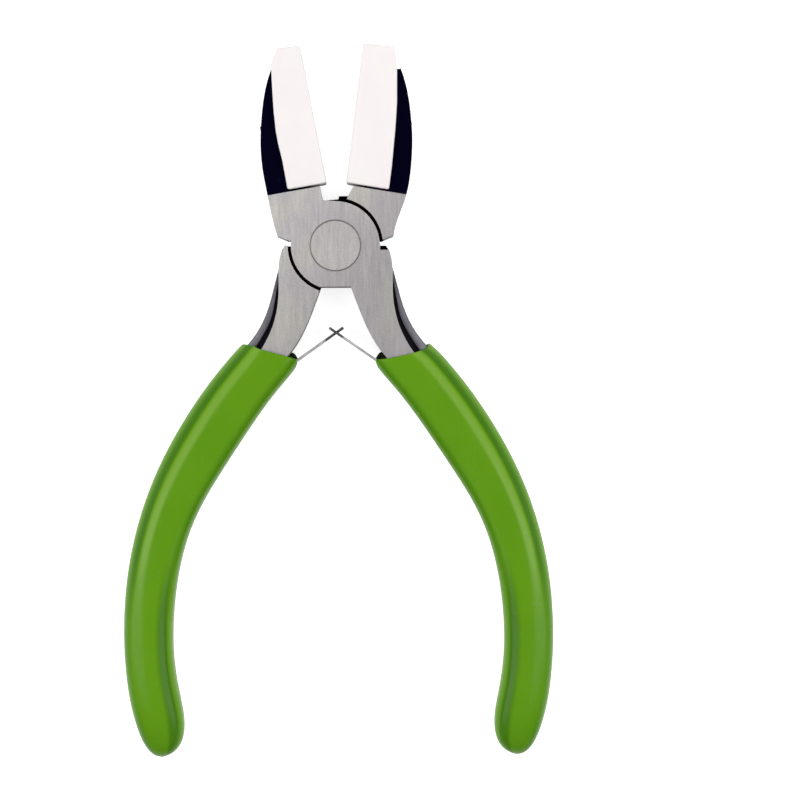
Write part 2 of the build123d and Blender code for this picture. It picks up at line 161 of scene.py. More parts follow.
# grain of a surface ground along +Y: fine scratches, soft streaks and faint cloudy patches
grain, grain_in, grain_out = new_group(
    "grinding_grain",
    [
        ("Scratch Depth", "Float", 0.5),
        ("Base", "Color", (0.5, 0.5, 0.5, 1)),
        ("Warm", "Color", (0.5, 0.5, 0.4, 1)),
    ],
    [("Color", "Color"), ("Roughness", "Float"), ("Height", "Float")],
)
scratches = noise(grain, in_millimetres(grain, (4.2, 0.3, 2.0)), 1.0, 3.0, 0.7)
streaks = noise(grain, in_millimetres(grain, (1.5, 0.13, 0.5)), 1.0, 3.0, 0.6)
clouds = noise(grain, in_millimetres(grain, (0.16, 0.12, 0.16)), 1.0, 2.0, 0.5)
speckle = noise(grain, in_millimetres(grain, (3.2, 3.2, 3.2)), 1.0, 2.0, 0.6)
warmed = blended(grain, ramp(grain, clouds, 0.42, 0.66), grain_in.outputs["Base"], grain_in.outputs["Warm"])
# each pattern lightens and darkens the colour about its own middle
shade = 1.0
for pattern, strength in ((scratches, 0.5), (streaks, 0.36), (speckle, 0.42)):
    shade = sums(grain, "MULTIPLY_ADD", sums(grain, "SUBTRACT", pattern, 0.5), strength, shade)
shaded = scaled(grain, warmed, shade)
rough = sums(grain, "MULTIPLY_ADD", streaks, 0.16, 0.34)
height = sums(grain, "MULTIPLY", scratches, grain_in.outputs["Scratch Depth"])
grain.links.new(shaded, grain_out.inputs["Color"])
grain.links.new(rough, grain_out.inputs["Roughness"])
grain.links.new(height, grain_out.inputs["Height"])

# edges that handling has rubbed, found from how far a rounded normal turns
wear, wear_in, wear_out = new_group("edge_rub", [("Radius", "Float", 0.0002)], [("Mask", "Float")])
rounded = add_node(wear, "Bevel", {"Radius": wear_in.outputs["Radius"]}, samples=6).outputs[0]
plain = add_node(wear, "NewGeometry").outputs["Normal"]
turn = add_node(wear, "VectorMath", {0: rounded, 1: plain}, operation="DOT_PRODUCT").outputs["Value"]
broken = noise(wear, in_millimetres(wear, (1.2, 1.2, 1.2)), 1.0, 3.0, 0.6)
rub = sums(wear, "MULTIPLY", ramp(wear, turn, 0.995, 0.9, 0.0, 1.0), ramp(wear, broken, 0.32, 0.6))
wear.links.new(rub, wear_out.inputs["Mask"])

ground_base = (0.465, 0.440, 0.452, 1)
ground_warm = (0.50, 0.485, 0.45, 1)
oxide = (0.0016, 0.0014, 0.010, 1)
oxide_rubbed = (0.03, 0.03, 0.05, 1)
forged = (0.27, 0.26, 0.30, 1)
forged_light = (0.36, 0.35, 0.385, 1)
rubbed_bare = (0.55, 0.54, 0.55, 1)
shadow_steel = (0.0008, 0.0008, 0.001, 1)
groove_shade_steel = (0.018, 0.016, 0.023, 1)
# half heights between which a forged side gives way to the ground face
ground_face = (4.2, 4.34)
shoulder_tilt = math.radians(9.6)
shoulder_reach = 12.0
jaw_side_shift = 0.35
disc_radius = 8.7
arc_gap_radius = 9.6
rivet_head_radius = 5.0
# where the groove beside the rail begins, how far out its outer edge is there, and how that edge
# swings outwards below
groove_top = -7.3
groove_edge = 11.35
groove_swing = (0.028, 0.0256)
rail_width = 1.9

steel, tree, shader = new_material("forged_steel")
ground = use_group(tree, grain, {"Scratch Depth": 0.5, "Base": ground_base, "Warm": ground_warm})
spot = add_node(tree, "SeparateXYZ", {0: in_millimetres(tree)})
x, y, z = spot.outputs[0], spot.outputs[1], spot.outputs[2]
facing = add_node(tree, "SeparateXYZ", {0: add_node(tree, "TexCoord").outputs["Normal"]}).outputs[2]
facing = sums(tree, "ABSOLUTE", facing)
off_mid = sums(tree, "ABSOLUTE", sums(tree, "SUBTRACT", z, steel_mid_z))
radius = plan_radius(tree, x, y)
on_ground = ramp(tree, off_mid, *ground_face)
off_ground = sums(tree, "SUBTRACT", 1.0, on_ground)
# the arms begin past the shoulders, which tilt back from the jaws' middle
across = sums(tree, "ABSOLUTE", sums(tree, "SUBTRACT", x, jaw_side_shift))
along = sums(tree, "MULTIPLY", y, math.cos(shoulder_tilt))
along = sums(tree, "MULTIPLY_ADD", across, math.sin(shoulder_tilt), along)
on_arm = ramp(tree, along, shoulder_reach - 0.12, shoulder_reach - 0.04)
# painted shade: the lapped faces and the arc gap round the disc are painted near-black, and so is the ring
# between the disc and the shoulders
lap_place = ramp(tree, radius, arc_gap_radius, arc_gap_radius - 0.2)
lap_place = sums(tree, "MAXIMUM", lap_place, ramp(tree, facing, 0.3, 0.7))
in_lap = sums(tree, "MULTIPLY", ramp(tree, off_mid, 0.3, 0.1), lap_place)
past_disc = ramp(tree, radius, disc_radius - 0.2, disc_radius - 0.05)
before_shoulder = ramp(tree, radius, arc_gap_radius, arc_gap_radius - 0.15)
in_ring = sums(tree, "MULTIPLY", past_disc, before_shoulder)
in_ring = sums(tree, "MULTIPLY", in_ring, ramp(tree, off_mid, 4.36, 4.3))
painted_gap_shade = sums(tree, "MAXIMUM", in_lap, in_ring)
# only faces that look up or down on the tangs count as the groove and the rail
on_tang = ramp(tree, y, -4.0, -6.0)
level = ramp(tree, facing, 0.15, 0.5)
# painted shade: the groove's floor on the tangs is painted near-black
groove_floor = sums(tree, "MULTIPLY", ramp(tree, off_mid, 2.75, 2.1), level)
groove_floor = sums(tree, "MULTIPLY", groove_floor, on_tang)
rub_mask = use_group(tree, wear, {"Radius": 0.25 * MM}).outputs[0]
scale_noise = noise(tree, in_millimetres(tree, (0.7, 0.35, 0.7)), 1.0, 4.0, 0.6)
forged_color = blended(tree, ramp(tree, scale_noise, 0.3, 0.75), forged, forged_light)
side_color = blended(tree, rub_mask, forged_color, rubbed_bare)
oxide_noise = noise(tree, in_millimetres(tree, (0.5, 0.22, 0.5)), 1.0, 4.0, 0.65)
oxide_mask = sums(tree, "MULTIPLY", rub_mask, 0.55)
oxide_mask = sums(tree, "ADD", oxide_mask, ramp(tree, oxide_noise, 0.62, 0.9, 0.0, 0.25))
oxide_color = blended(tree, oxide_mask, oxide, oxide_rubbed)
# painted light falloff: the ground faces are painted lighter at the head's upper left and darker towards
# the right shank
painted_falloff_and_ring = sums(tree, "MULTIPLY_ADD", x, 0.7, sums(tree, "MULTIPLY", y, -0.7))
painted_falloff_and_ring = ramp(tree, painted_falloff_and_ring, -14.0, 15.0, 1.09, 0.80)
# pressing the rivet home left a faint dull ring round it
rivet_ring = ramp(tree, radius, rivet_head_radius + 0.02, rivet_head_radius + 0.28, 0.74, 1.0)
painted_falloff_and_ring = sums(tree, "MULTIPLY", painted_falloff_and_ring, rivet_ring)
ground_color = scaled(tree, ground.outputs["Color"], painted_falloff_and_ring)
# painted shade: the rail is painted bright along its outer side and darker down to the groove
down = sums(tree, "MAXIMUM", sums(tree, "SUBTRACT", groove_top, y), 0.0)
swing = sums(tree, "MULTIPLY", down, sums(tree, "MULTIPLY_ADD", down, groove_swing[1], groove_swing[0]))
edge = sums(tree, "ADD", swing, groove_edge)
past_groove = sums(tree, "SUBTRACT", sums(tree, "ABSOLUTE", x), edge)
rail_shade = ramp(tree, past_groove, rail_width, -0.3, 0.0, 0.88)
rail_shade = sums(tree, "MULTIPLY", rail_shade, level)
rail_shade = sums(tree, "MULTIPLY", rail_shade, on_tang)
side_color = blended(tree, rail_shade, side_color, groove_shade_steel)
color = blended(tree, on_ground, side_color, ground_color)
color = blended(tree, sums(tree, "MULTIPLY", on_arm, off_ground), color, oxide_color)
color = blended(tree, groove_floor, color, groove_shade_steel)
# painted shade: the gap, the lapped faces and the ring go near-black
color = blended(tree, painted_gap_shade, color, shadow_steel)
tree.links.new(color, shader.inputs["Base Color"])
dark = sums(tree, "MAXIMUM", sums(tree, "MAXIMUM", painted_gap_shade, groove_floor), on_arm)
rough = blended(tree, on_ground, (0.5, 0.5, 0.5, 1), ground.outputs["Roughness"])
rough = sums(tree, "MULTIPLY_ADD", dark, 0.06, rough)
tree.links.new(rough, shader.inputs["Roughness"])
metal = sums(tree, "MULTIPLY_ADD", dark, 0.4, 0.6, clamp=True)
tree.links.new(metal, shader.inputs["Metallic"])
forging_bumps = sums(tree, "MULTIPLY", scale_noise, off_ground)
surface = sums(tree, "MULTIPLY_ADD", forging_bumps, 3.0, ground.outputs["Height"])
soft_edges = add_node(tree, "Bevel", {"Radius": 0.22 * MM}, samples=6).outputs[0]
add_bump(tree, shader, surface, 0.35, 0.02, Normal=soft_edges)
for half in ("front_half", "rear_half"):
    paint(nodes[half], steel)

# ---------------------------------------------------------------------------------------------
# Pivot rivet
# A steel rivet pressed into the front half and ground flush with both faces, so that only a
# soft line round its heads shows.
# ---------------------------------------------------------------------------------------------
rivet_base = (0.49, 0.47, 0.465, 1)
rivet_warm = (0.51, 0.49, 0.455, 1)
rivet_edge = (0.27, 0.26, 0.265, 1)

rivet_steel, tree, shader = new_material("ground_rivet")
ground = use_group(tree, grain, {"Scratch Depth": 0.5, "Base": rivet_base, "Warm": rivet_warm})
spot = add_node(tree, "SeparateXYZ", {0: in_millimetres(tree)})
radius = plan_radius(tree, spot.outputs[0], spot.outputs[1])
rim = ramp(tree, radius, rivet_head_radius - 0.38, rivet_head_radius - 0.08)
color = blended(tree, rim, ground.outputs["Color"], rivet_edge)
tree.links.new(color, shader.inputs["Base Color"])
rough = sums(tree, "MULTIPLY_ADD", rim, 0.2, ground.outputs["Roughness"])
tree.links.new(rough, shader.inputs["Roughness"])
shader.inputs["Metallic"].default_value = 0.6
add_bump(tree, shader, ground.outputs["Height"], 0.35, 0.02)
paint(nodes["pivot_rivet"], rivet_steel)

# ---------------------------------------------------------------------------------------------
# Nylon pads
# One machined nylon block to each jaw, milled with a channel that slides over the steel arm.
# The gripping face is flat and every edge is broken by hand.
# ---------------------------------------------------------------------------------------------
pad_edge_round = 0.4
pad_base_thickness = 9.4
pad_tip_thickness = 7.6
face_tilt = {-1: math.radians(10.35), 1: math.radians(7.3)}
parting_offset = 0.6
half_closed_gap = 0.03
pad_wall = 3.6
pad_root = 12.43
pad_reach = {-1: 39.85, 1: 40.1}
# plan points down the back of each pad, from the root to the nose
pad_backs = {
    -1: [
        (9.0, 9.5),
        (10.3, 16.9),
        (11.05, 20.0),
        (11.5, 22.5),
        (11.9, 26.5),
        (12.1, 30.0),
        (12.36, 35.6),
        (11.22, 38.8),
    ],
    1: [
        (10.4, 9.5),
        (11.2, 15.5),
        (11.55, 19.0),
        (11.95, 23.0),
        (12.2, 26.5),
        (12.3, 28.0),
        (12.35, 35.0),
        (11.99, 38.9),
    ],
}
root_steps = 200
# the channel fits the steel arm, which thins from its base to its tip
channel_fit = 0.05
channel_half = (3.15, 2.35)
channel_start = 8.0
channel_end = 35.05
channel_end_back = 34.75
past_pad = 30.0
arm_taper = (12.03, 39.0)


def face_point(side, along, back):
    """A plan point on a jaw: along its gripping face from the pivot, and back from that face."""
    tilt = face_tilt[side]
    across = parting_offset + side * (half_closed_gap + back)
    return (
        across * math.cos(tilt) + along * side * math.sin(tilt),
        along * math.cos(tilt) - across * side * math.sin(tilt),
    )


def jaw_station(side, point):
    """How far a plan point lies along the jaw, measured square to its shoulder."""
    outwards = side * (point[0] - jaw_side_shift)
    return outwards * math.sin(shoulder_tilt) + point[1] * math.cos(shoulder_tilt)


def corner_row(side, face, back, halves, taper):
    """Four corners of a section between a plan point on the face side and one at the back. Its
    half thickness goes evenly from the first of halves to the second over the taper's run."""
    corners = []
    for point in (face, back):
        share = (jaw_station(side, point) - taper[0]) / (taper[1] - taper[0])
        corners.append((point, halves[0] + (halves[1] - halves[0]) * share))
    if side < 0:
        corners.reverse()
    row = []
    for turn in (-1, 1):
        row += [(*point, steel_mid_z + turn * half) for point, half in corners]
    return row


def stop_all():
    """Leaves edit mode with nothing selected."""
    if bpy.context.mode != "OBJECT":
        bpy.ops.object.mode_set(mode="OBJECT")
    bpy.ops.object.select_all(action="DESELECT")


def pick(piece):
    """Makes a piece the only selected one."""
    stop_all()
    piece.select_set(True)
    bpy.context.view_layer.objects.active = piece


def block_along(name, rows):
    """A block shaped from a cube: its end face is extruded once for each further row of four
    corners, and every row's corners are moved to their places."""
    stop_all()
    bpy.ops.mesh.primitive_cube_add(size=2 * MM)
    piece = bpy.context.object
    piece.name = name
    bpy.ops.object.mode_set(mode="EDIT")
    bpy.ops.mesh.select_mode(type="FACE")
    for _ in range(len(rows) - 2):
        work = bmesh.from_edit_mesh(piece.data)
        top = max(work.faces, key=lambda face: face.calc_center_median().y)
        for face in work.faces:
            face.select_set(face is top)
        bmesh.update_edit_mesh(piece.data)
        bpy.ops.mesh.extrude_region_move(TRANSFORM_OT_translate={"value": (0, 2 * MM, 0)})
    work = bmesh.from_edit_mesh(piece.data)
    for vertex in work.verts:
        row = rows[round((vertex.co.y / MM + 1) / 2)]
        corner = row[(1 if vertex.co.x > 0 else 0) + (2 if vertex.co.z > 0 else 0)]
        vertex.co = Vector(corner) * MM
    bmesh.update_edit_mesh(piece.data)
    bpy.ops.mesh.select_all(action="SELECT")
    bpy.ops.mesh.normals_make_consistent(inside=False)
    stop_all()
    return piece


def apply_modifier(piece, kind, **settings):
    """Adds a modifier with its settings and applies it."""
    pick(piece)
    made = piece.modifiers.new(kind.lower(), kind)
    for name, value in settings.items():
        setattr(made, name, value)
    bpy.ops.object.modifier_apply(modifier=made.name)


def round_edges(piece, width, segments, degrees):
    """Rounds the edges that turn by more than an angle."""
    settings = {"limit_method": "ANGLE", "angle_limit": math.radians(degrees)}
    apply_modifier(piece, "BEVEL", width=width * MM, segments=segments, **settings)


def smooth(piece):
    """Smooth shading on all but the sharp edges."""
    pick(piece)
    bpy.ops.object.shade_smooth_by_angle(angle=math.radians(35))


nylon_cool = (0.935, 0.87, 0.875, 1)
nylon_warm = (0.935, 0.895, 0.87, 1)
nylon_handled = (0.82, 0.79, 0.77, 1)

nylon, tree, shader = new_material("white_nylon")
soft_cloud = noise(tree, in_millimetres(tree, (0.16, 0.1, 0.16)), 1.0, 2.0, 0.5)
mill = noise(tree, in_millimetres(tree, (6.0, 0.5, 6.0)), 1.0, 2.0, 0.5)
fine = noise(tree, in_millimetres(tree, (5.0, 5.0, 5.0)), 1.0, 3.0, 0.6)
color = blended(tree, ramp(tree, soft_cloud, 0.35, 0.65), nylon_cool, nylon_warm)
handled = use_group(tree, wear, {"Radius": 0.5 * MM}).outputs[0]
color = blended(tree, sums(tree, "MULTIPLY", handled, 0.35), color, nylon_handled)
tree.links.new(color, shader.inputs["Base Color"])
tree.links.new(sums(tree, "MULTIPLY_ADD", fine, 0.14, 0.46), shader.inputs["Roughness"])
shader.inputs["Subsurface Weight"].default_value = 0.12
shader.inputs["Subsurface Radius"].default_value = (1.0, 0.95, 0.9)
shader.inputs["Subsurface Scale"].default_value = 1.2 * MM
grainy = sums(tree, "MULTIPLY_ADD", mill, 0.5, sums(tree, "MULTIPLY", fine, 0.5))
add_bump(tree, shader, grainy, 0.25, 0.03)


def root_back(side):
    """The back corner of a pad's root, found in small steps along the first run of its back."""
    (start_x, start_y), (end_x, end_y) = pad_backs[side][:2]
    for step in range(root_steps):
        share = step / root_steps
        corner = (side * (start_x + (end_x - start_x) * share), start_y + (end_y - start_y) * share)
        if jaw_station(side, corner) >= pad_root:
            break
    return corner


def make_pad(side, name):
    """One pad, as a block with the arm's channel cut out of its back."""
    tilt = face_tilt[side]
    # the root end is square to the jaw's shoulder
    short = pad_root - jaw_station(side, face_point(side, pad_root, 0))
    root = pad_root + short / math.cos(tilt - shoulder_tilt)
    pairs = [(face_point(side, root, 0), root_back(side))]
    for back_x, back_y in pad_backs[side][1:]:
        reach = back_y * math.cos(tilt) + back_x * math.sin(tilt)
        pairs.append((face_point(side, reach, 0), (side * back_x, back_y)))
    pairs[-1] = (face_point(side, pad_reach[side], 0), pairs[-1][1])
    halves = (pad_base_thickness / 2, pad_tip_thickness / 2)
    taper = (pad_root, pad_reach[side] + pad_wall)
    pad = block_along(name, [corner_row(side, face, back, halves, taper) for face, back in pairs])
    wall = pad_wall - channel_fit
    pairs = [
        (face_point(side, channel_start, wall), face_point(side, channel_start, past_pad)),
        (face_point(side, channel_end, wall), (side * past_pad, channel_end_back)),
    ]
    rows = [corner_row(side, face, back, channel_half, arm_taper) for face, back in pairs]
    cutter = block_along("channel_cutter", rows)
    apply_modifier(pad, "BOOLEAN", object=cutter, operation="DIFFERENCE", solver="EXACT")
    bpy.data.objects.remove(cutter)
    round_edges(pad, pad_edge_round, 3, 25)
    smooth(pad)
    paint(pad, nylon)
    return pad


pads = (
    (-1, "left_pad", "front_half", "left_nylon_jaw"),
    (1, "right_pad", "rear_half", "right_nylon_jaw"),
)
for side, name, body, cad_node in pads:
    pad = make_pad(side, name)
    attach(pad, body)
    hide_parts(cad_node)

# ---------------------------------------------------------------------------------------------
# Jaw screws and spring rivets
# Blackened socket screws hold the pads from the backs of the jaws. Small rivets, blackened too,
# hold the leaves' feet to the tangs.
# ---------------------------------------------------------------------------------------------
blackened = (0.045, 0.045, 0.05, 1)
blackened_light = (0.075, 0.075, 0.08, 1)
blackened_rubbed = (0.3, 0.3, 0.31, 1)

fastener, tree, shader = new_material("blackened_fastener")
pitting = noise(tree, in_millimetres(tree, (2.0, 2.0, 2.0)), 1.0, 4.0, 0.6)
rub_mask = use_group(tree, wear, {"Radius": 0.12 * MM}).outputs[0]
color = blended(tree, ramp(tree, pitting, 0.35, 0.7), blackened, blackened_light)
color = blended(tree, rub_mask, color, blackened_rubbed)
tree.links.new(color, shader.inputs["Base Color"])
tree.links.new(sums(tree, "MULTIPLY_ADD", pitting, 0.2, 0.28), shader.inputs["Roughness"])
shader.inputs["Metallic"].default_value = 0.85
add_bump(tree, shader, pitting, 0.2, 0.02)
for part in ("left_jaw_screw", "right_jaw_screw", "left_spring_rivet", "right_spring_rivet"):
    paint(nodes[part], fastener)

# ---------------------------------------------------------------------------------------------
# Leaf springs
# Two strips of bright spring steel, riveted to the tangs and painted dark as shade where they cross. The
# left one narrows to a tongue with a cross head, which passes through the window near the tip of the right.
# ---------------------------------------------------------------------------------------------
leaf_thickness = 0.5
leaf_half_width = 2.25
leaf_edge_round = 0.07
leaf_foot_end = (14.2, -28.69)
leaf_bend = (11.79, -25.25)
# where the bend's rounding starts and ends, and how far it rounds the corner
bend_run = 0.36
bend_cut = 0.06
leaf_tip = (-1.39, -16.02)
leaf_crossing = (0.0, -17.0)
# distances along a leaf past the crossing
leaf_end = 1.7
window_reach = (-2.6, 1.0)
tongue_start = -3.4
head_start = 1.0
# distances across a leaf from its middle
window_half = 1.1
tongue_half = 0.85
tongue_head_half = 1.6
leaf_dark = (0.42, 0.415, 0.43, 1)
leaf_bright = (0.54, 0.53, 0.54, 1)
leaf_rubbed = (0.65, 0.65, 0.65, 1)
crossing_shade = (0.03, 0.03, 0.04, 1)
crossing_shade_reach = (3.1, 2.5)

spring_steel, tree, shader = new_material("spring_steel")
drawn = noise(tree, in_millimetres(tree, (0.6, 0.6, 5.0)), 1.0, 3.0, 0.6)
tint = noise(tree, in_millimetres(tree, (0.5, 0.5, 0.5)), 1.0, 2.0, 0.5)
rub_mask = use_group(tree, wear, {"Radius": 0.12 * MM}).outputs[0]
color = blended(tree, ramp(tree, tint, 0.35, 0.65), leaf_dark, leaf_bright)
color = blended(tree, sums(tree, "MULTIPLY", rub_mask, 0.5), color, leaf_rubbed)
ends = {0: in_millimetres(tree), 1: (*leaf_crossing, steel_mid_z)}
from_crossing = add_node(tree, "VectorMath", ends, operation="DISTANCE").outputs["Value"]
# painted shade: the leaves darken towards where they cross
color = blended(tree, ramp(tree, from_crossing, *crossing_shade_reach, 0.0, 0.9), color, crossing_shade)
tree.links.new(color, shader.inputs["Base Color"])
tree.links.new(sums(tree, "MULTIPLY_ADD", drawn, 0.2, 0.25), shader.inputs["Roughness"])
shader.inputs["Metallic"].default_value = 0.55
add_bump(tree, shader, drawn, 0.2, 0.01)


def leaf_line():
    """Points of a right-hand leaf's middle line, from its foot round the bend to its tip."""
    foot, bend, tip = Vector(leaf_foot_end), Vector(leaf_bend), Vector(leaf_tip)
    crossing = Vector(leaf_crossing)
    run = (tip - bend).normalized()
    rise = (bend - foot).normalized()
    points = [foot, foot.lerp(bend, 0.35), foot.lerp(bend, 0.7), bend - rise * bend_run]
    points += [bend + (run - rise) * bend_cut, bend + run * bend_run]
    # closest together at the tongue and the window
    marks = [-11.5, -10.0, -8.5, -7.0, -5.6, -4.4, tongue_start]
    marks += [window_reach[0], -1.7, -0.8, 0.1, window_reach[1], leaf_end]
    return points + [crossing + run * mark for mark in marks]


def make_leaf(side, name, columns, is_cut):
    """A strip laid out from a grid, with the cells of its window or beside its tongue deleted,
    then given its thickness."""
    line = leaf_line()
    rows, strips = len(line) - 1, len(columns) - 1
    stop_all()
    bpy.ops.mesh.primitive_grid_add(x_subdivisions=rows, y_subdivisions=strips, size=2)
    leaf = bpy.context.object
    leaf.name = name
    for vertex in leaf.data.vertices:
        point = line[round((vertex.co.x + 1) / 2 * rows)]
        up = columns[round((vertex.co.y + 1) / 2 * strips)]
        vertex.co = (side * point.x * MM, point.y * MM, (steel_mid_z + up) * MM)
    bpy.ops.object.mode_set(mode="EDIT")
    work = bmesh.from_edit_mesh(leaf.data)
    run = (Vector(leaf_tip) - Vector(leaf_bend)).normalized()
    for face in work.faces:
        centre = face.calc_center_median() / MM
        past = (Vector((side * centre.x, centre.y)) - Vector(leaf_crossing)).dot(run)
        face.select_set(is_cut(past, abs(centre.z - steel_mid_z)))
    bmesh.update_edit_mesh(leaf.data)
    bpy.ops.mesh.delete(type="FACE")
    stop_all()
    wall = leaf_thickness * MM
    apply_modifier(leaf, "SOLIDIFY", thickness=wall, offset=0.0, use_even_offset=True)
    round_edges(leaf, leaf_edge_round, 2, 40)
    pick(leaf)
    bpy.ops.object.mode_set(mode="EDIT")
    bpy.ops.mesh.select_all(action="SELECT")
    bpy.ops.mesh.normals_make_consistent(inside=False)
    smooth(leaf)
    paint(leaf, spring_steel)
    return leaf


def beside_tongue(past, across):
    """True for the cells that are cut away beside the tongue and beside its cross head."""
    if past < tongue_start:
        return False
    return across > (tongue_head_half if past > head_start else tongue_half)


def inside_window(past, across):
    """True for the cells of the window."""
    return window_reach[0] < past < window_reach[1] and across < window_half


tongue_columns = [0, tongue_half, tongue_head_half, leaf_half_width]
tongue_columns = [-each for each in reversed(tongue_columns[1:])] + tongue_columns
window_columns = [-leaf_half_width, -window_half, 0, window_half, leaf_half_width]
leaves = (
    (-1, "left_leaf", tongue_columns, beside_tongue, "rear_half", "left_spring", "left_leaf_spring"),
    (1, "right_leaf", window_columns, inside_window, "front_half", "right_spring", "right_leaf_spring"),
)
for side, name, columns, is_cut, handle_body, spring_body, cad_node in leaves:
    leaf = make_leaf(side, name, columns, is_cut)
    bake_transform(leaf)
    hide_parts(cad_node)

# ---------------------------------------------------------------------------------------------
# Grips
# Thick green vinyl, dipped over each tang and trimmed square at the mouth. The skin sinks over
# the groove beside the flat, so a soft ridge runs down each face to about halfway.
# ---------------------------------------------------------------------------------------------
grip_half_thickness = 5.38
# outer and inner edge of each station along a right-hand grip, and its half thickness there
grip_stations = [
    ((20.32, -20.98), (9.15, -25.30), 1.0),
    ((22.30, -23.30), (11.88, -28.35), 1.0),
    ((25.30, -26.95), (15.34, -32.90), 1.0),
    ((28.76, -31.85), (19.01, -38.35), 1.0),
    ((32.41, -37.77), (22.63, -43.85), 1.0),
    ((35.81, -44.42), (26.18, -49.40), 1.0),
    ((38.67, -51.87), (29.07, -55.25), 1.0),
    ((40.67, -59.47), (30.96, -61.54), 1.0),
    ((41.82, -66.85), (32.09, -68.04), 1.0),
    ((42.28, -74.30), (32.62, -74.59), 1.0),
    ((42.10, -81.78), (32.51, -81.13), 1.0),
    ((41.22, -88.93), (31.60, -86.83), 1.0),
    ((40.10, -93.30), (30.55, -91.40), 0.97),
    ((38.95, -96.60), (30.38, -95.00), 0.90),
    ((37.75, -98.65), (31.10, -97.75), 0.76),
    ((36.40, -99.85), (32.60, -99.35), 0.52),
]
grip_pole = (34.75, -100.28)
# half of one section, from the inner edge to the outer edge: share across, height and painted light with
# the steel's ridge showing through, then height and painted light where the skin is plain. The painted
# light runs from 1, a painted highlight along the ridge and a painted reflection at the rims, to -1,
# painted shade down the flanks.
section = [
    (0.000, 0.00, 0.3, 0.00, 0.5),
    (0.000, 0.26, 0.3, 0.20, 0.6),
    (0.000, 0.50, 0.2, 0.38, 0.7),
    (0.018, 0.72, -0.1, 0.54, 0.7),
    (0.065, 0.89, -0.6, 0.70, 0.3),
    (0.140, 0.97, -0.3, 0.865, -1.0),
    (0.215, 0.993, 0.0, 0.970, -1.0),
    (0.380, 1.000, 0.0, 0.995, 0.0),
    (0.500, 1.000, 0.0, 1.000, 0.0),
    (0.610, 0.998, 0.1, 0.99, 0.0),
    (0.680, 0.975, 0.9, 0.965, 0.0),
    (0.730, 0.940, 1.0, 0.94, 0.0),
    (0.778, 0.890, 0.5, 0.905, 0.0),
    (0.826, 0.800, -1.0, 0.85, 0.0),
    (0.876, 0.700, -1.0, 0.78, -0.3),
    (0.928, 0.580, -0.3, 0.67, -0.3),
    (0.972, 0.420, 0.5, 0.49, 0.2),
    (1.000, 0.230, 0.7, 0.25, 0.4),
    (1.000, 0.000, 0.7, 0.00, 0.4),
]
# where the steel's ridge starts to fade, going down, and where it is gone
ridge_fade = (-56.0, -76.0)
# the dip is darker over the last of the grip
end_start = -90.0
end_run = 7.0
end_darker = 0.35


def held_to_unit(value):
    """A value kept between 0 and 1."""
    return max(0.0, min(1.0, value))


def section_ring():
    """The whole section's points: along the front face outwards, then back along the rear."""
    front = [(row[0], 1, *row[1:]) for row in section]
    rear = [(row[0], -1, *row[1:]) for row in reversed(section[1:-1])]
    return front + rear


# mouth line of each grip as share across and plan point, from its inner to its outer corner
mouth_front = {
    -1: [
        (0.0, 7.2, -22.3),
        (0.25, 9.9, -21.55),
        (0.68, 15.15, -20.1),
        (0.82, 16.4, -19.4),
        (1.0, 18.6, -19.1),
    ],
    1: [
        (0.0, 7.15, -22.4),
        (0.25, 10.2, -22.2),
        (0.66, 14.9, -21.2),
        (0.88, 17.5, -20.3),
        (1.0, 18.4, -19.3),
    ],
}
mouth_rear = [
    (0.0, 7.3, -22.2),
    (0.16, 8.3, -20.9),
    (0.25, 9.3, -20.45),
    (0.66, 14.9, -20.3),
    (1.0, 18.5, -19.2),
]
spring_notch = (8.0, -23.75)
notch_height = 0.6
# how soon the rim passes from its rear line to its front line
line_change = 2.2
# how far the first full ring lies below the rim, and how much the rim is drawn in
lip_roll = (0.25, -0.32)
rim_height = 0.975
# the inner wall lies just outside the steel, which is thinner along the rail
inner_set_in = 0.62
inner_rise = 0.1
inner_round = 0.92
inner_half_flat = 4.5
inner_half_rail = 3.3
rail_share = 0.7
inner_run = (3.0, -4.0)


def along_line(line, share):
    """A point of a mouth line at a share of its way across."""
    for first, second in zip(line, line[1:]):
        if share <= second[0]:
            part = (share - first[0]) / (second[0] - first[0])
            return tuple(a + (b - a) * part for a, b in zip(first[1:], second[1:]))
    return line[-1][1:]


def mouth_point(side, share, face, height):
    """A point of the mouth's rim: the front and rear lines, dipping at the spring's notch."""
    front = along_line(mouth_front[side], share)
    rear = along_line(mouth_rear, share)
    # the rim passes from one line to the other over the middle of the thickness
    part = 0.5 + 0.5 * max(-1.0, min(1.0, face * height * line_change))
    if share == 0.0 and height < notch_height:
        return spring_notch
    return rear[0] + (front[0] - rear[0]) * part, rear[1] + (front[1] - rear[1]) * part


